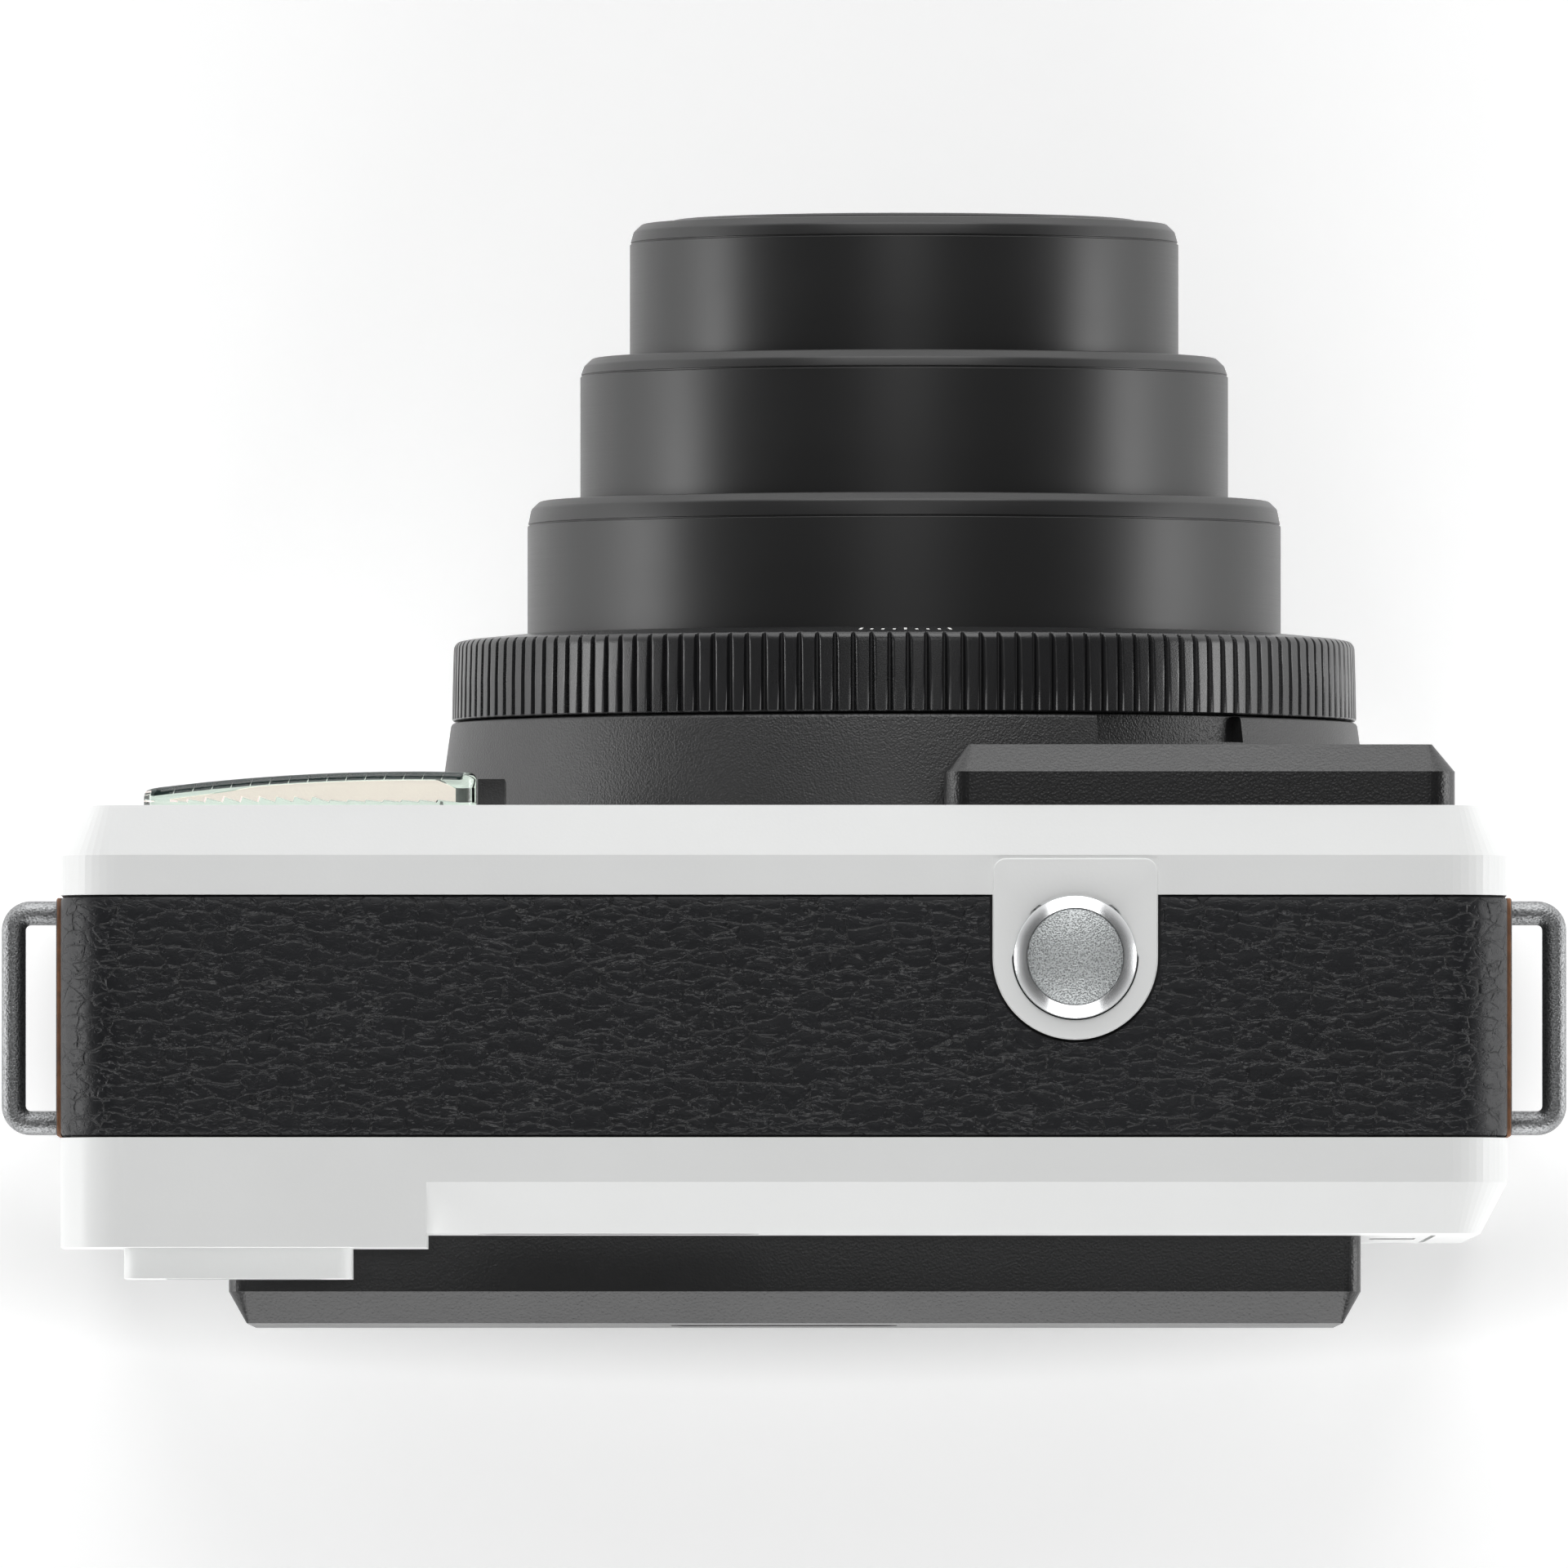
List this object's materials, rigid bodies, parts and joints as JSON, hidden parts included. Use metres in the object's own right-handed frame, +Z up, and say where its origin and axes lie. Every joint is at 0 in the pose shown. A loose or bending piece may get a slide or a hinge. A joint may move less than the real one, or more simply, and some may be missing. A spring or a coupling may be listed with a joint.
{
  "type": "instant camera",
  "caption": "Instant film camera: two light shells round a leather band, telescoping lens, swing-open film door, built-in flash and finder.",
  "frame": {"origin": "centre of the tripod socket's mouth on the underside, on the middle of the leather band", "axes": "+X to the right seen from the front, -Y the way the lens looks, +Z up through the release button"},
  "size_m": [0.123, 0.088, 0.0942],
  "materials": {
    "white_plastic": "satin moulded plastic",
    "black_leather": "grained leather, raw brown at the cut edge",
    "blasted_metal": "bead blasted",
    "dark_metal": "satin anodised",
    "black_plastic": "fine grained",
    "frame_plastic": "moulded",
    "steel": "plain",
    "optical_glass": "coated",
    "flash_plastic": "clear ribbed plastic",
    "mirror_finish": "silvered",
    "lamp_red": "translucent",
    "display_glass": "smoked",
    "board_green": "solder mask",
    "capacitor_sleeve": "sleeved",
    "battery_grey": "moulded",
    "film_card": "card",
    "roller_rubber": "ground",
    "amber_window": "tinted"
  },
  "bodies": {
    "casing": {"front_shell": "white_plastic", "rear_shell": "white_plastic", "mid_frame": "frame_plastic", "leather_wrap": "black_leather", "side_pad_left": "black_leather", "side_pad_right": "black_leather", "strap_lug_left": "blasted_metal", "strap_lug_right": "blasted_metal", "shutter_bezel": "white_plastic", "lens_mount": "black_plastic", "mirror_housing": "black_plastic", "selfie_mirror": "mirror_finish", "timer_lamp": "lamp_red", "exposure_meter": "black_plastic", "flash_window": "flash_plastic", "flash_reflector": "mirror_finish", "flash_tube": "optical_glass", "flash_capacitor": "capacitor_sleeve", "finder_window": "optical_glass", "finder_tube": "black_plastic", "eyepiece_frame": "white_plastic", "eyepiece_lens": "optical_glass", "light_baffle": "black_plastic", "film_pack": "black_plastic", "film_sheets": "film_card", "roller_frame": "blasted_metal", "eject_motor": "steel", "circuit_board": "board_green", "lcd_window": "display_glass", "battery": "battery_grey", "tripod_socket": "blasted_metal", "case_screws": "steel", "exit_slot_bezel": "black_plastic", "door_hinge_pin": "steel", "release_spring": "steel"},
    "lens_ring": {"control_ring": "black_plastic"},
    "outer_stage": {"barrel_outer": "dark_metal"},
    "middle_stage": {"barrel_middle": "dark_metal"},
    "inner_stage": {"barrel_inner": "dark_metal", "lens_trim_ring": "black_plastic", "front_element": "optical_glass", "lens_cell": "frame_plastic", "shutter_plate": "steel"},
    "shutter": {"shutter_blade": "steel"},
    "release": {"release_button": "blasted_metal"},
    "front_release": {"front_button": "blasted_metal"},
    "door": {"film_door": "white_plastic", "door_cover": "black_plastic", "film_window": "amber_window", "pressure_springs": "steel"},
    "latch": {"door_latch": "black_plastic"},
    "battery_hatch": {"battery_door": "white_plastic"},
    "drive": {"drive_roller": "roller_rubber"},
    "pinch": {"pinch_roller": "steel"},
    "pinion": {"motor_pinion": "white_plastic"},
    "power_key": {"power_button": "white_plastic"},
    "mode_key": {"mode_button": "white_plastic"},
    "flash_key": {"flash_button": "white_plastic"},
    "timer_key": {"timer_button": "white_plastic"},
    "bright_key": {"bright_button": "white_plastic"}
  },
  "joints": [
    {"name": "outer_slide", "type": "slide", "parent": "casing", "child": "outer_stage", "axis": [0, -1, 0], "range_m": [-0.0099, 0]},
    {"name": "middle_slide", "type": "slide", "parent": "outer_stage", "child": "middle_stage", "axis": [0, -1, 0], "range_m": [-0.0099, 0]},
    {"name": "inner_slide", "type": "slide", "parent": "middle_stage", "child": "inner_stage", "axis": [0, -1, 0], "range_m": [-0.0099, 0]},
    {"name": "lens_ring_turn", "type": "hinge", "parent": "casing", "child": "lens_ring", "pos_m": [-0.00957, -0.027, 0.041], "axis": [0, -1, 0], "range_deg": [-35, 35]},
    {"name": "shutter_swing", "type": "hinge", "parent": "inner_stage", "child": "shutter", "pos_m": [-0.00207, -0.05485, 0.041], "axis": [0, 1, 0], "range_deg": [0, 52], "stiffness_Nm_per_rad": 0.0002, "springref_deg": -28.65},
    {"name": "release_press", "type": "slide", "parent": "casing", "child": "release", "axis": [0, 0, -1], "range_m": [0, 0.0012], "stiffness_N_per_m": 500, "springref_m": -0.0004, "deforming": ["release_spring"]},
    {"name": "front_release_press", "type": "slide", "parent": "casing", "child": "front_release", "axis": [0, 1, 0], "range_m": [0, 0.0012], "stiffness_N_per_m": 500, "springref_m": -0.0004},
    {"name": "film_door_swing", "type": "hinge", "parent": "casing", "child": "door", "pos_m": [0.0512, 0.01545, 0.041], "axis": [0, 0, -1], "range_deg": [0, 95]},
    {"name": "latch_slide", "type": "slide", "parent": "door", "child": "latch", "axis": [0, 0, 1], "range_m": [0, 0.004]},
    {"name": "battery_door_swing", "type": "hinge", "parent": "casing", "child": "battery_hatch", "pos_m": [0.0382, -0.00905, 0.00105], "axis": [1, 0, 0], "range_deg": [0, 95]},
    {"name": "drive_spin", "type": "hinge", "parent": "casing", "child": "drive", "pos_m": [0.0486, -0.00385, 0.041], "axis": [0, 0, 1], "continuous": true},
    {"name": "pinch_spin", "type": "hinge", "parent": "casing", "child": "pinch", "pos_m": [0.0486, 0.00065, 0.041], "axis": [0, 0, 1], "continuous": true},
    {"name": "pinion_spin", "type": "hinge", "parent": "casing", "child": "pinion", "pos_m": [0.04213, -0.0082, 0.071], "axis": [0, 0, 1], "continuous": true},
    {"name": "power_press", "type": "slide", "parent": "casing", "child": "power_key", "axis": [0, -1, 0], "range_m": [0, 0.0003], "stiffness_N_per_m": 800, "springref_m": -0.0002},
    {"name": "mode_press", "type": "slide", "parent": "casing", "child": "mode_key", "axis": [0, -1, 0], "range_m": [0, 0.0003], "stiffness_N_per_m": 800, "springref_m": -0.0002},
    {"name": "flash_press", "type": "slide", "parent": "casing", "child": "flash_key", "axis": [0, -1, 0], "range_m": [0, 0.0003], "stiffness_N_per_m": 800, "springref_m": -0.0002},
    {"name": "timer_press", "type": "slide", "parent": "casing", "child": "timer_key", "axis": [0, -1, 0], "range_m": [0, 0.0003], "stiffness_N_per_m": 800, "springref_m": -0.0002},
    {"name": "bright_press", "type": "slide", "parent": "casing", "child": "bright_key", "axis": [0, -1, 0], "range_m": [0, 0.0003], "stiffness_N_per_m": 800, "springref_m": -0.0002}
  ],
  "couplings": [
    {"joint": "middle_slide", "follows": "outer_slide", "ratio": 1},
    {"joint": "inner_slide", "follows": "outer_slide", "ratio": 1},
    {"joint": "pinch_spin", "follows": "drive_spin", "ratio": -1},
    {"joint": "pinion_spin", "follows": "drive_spin", "ratio": -1.1667}
  ]
}
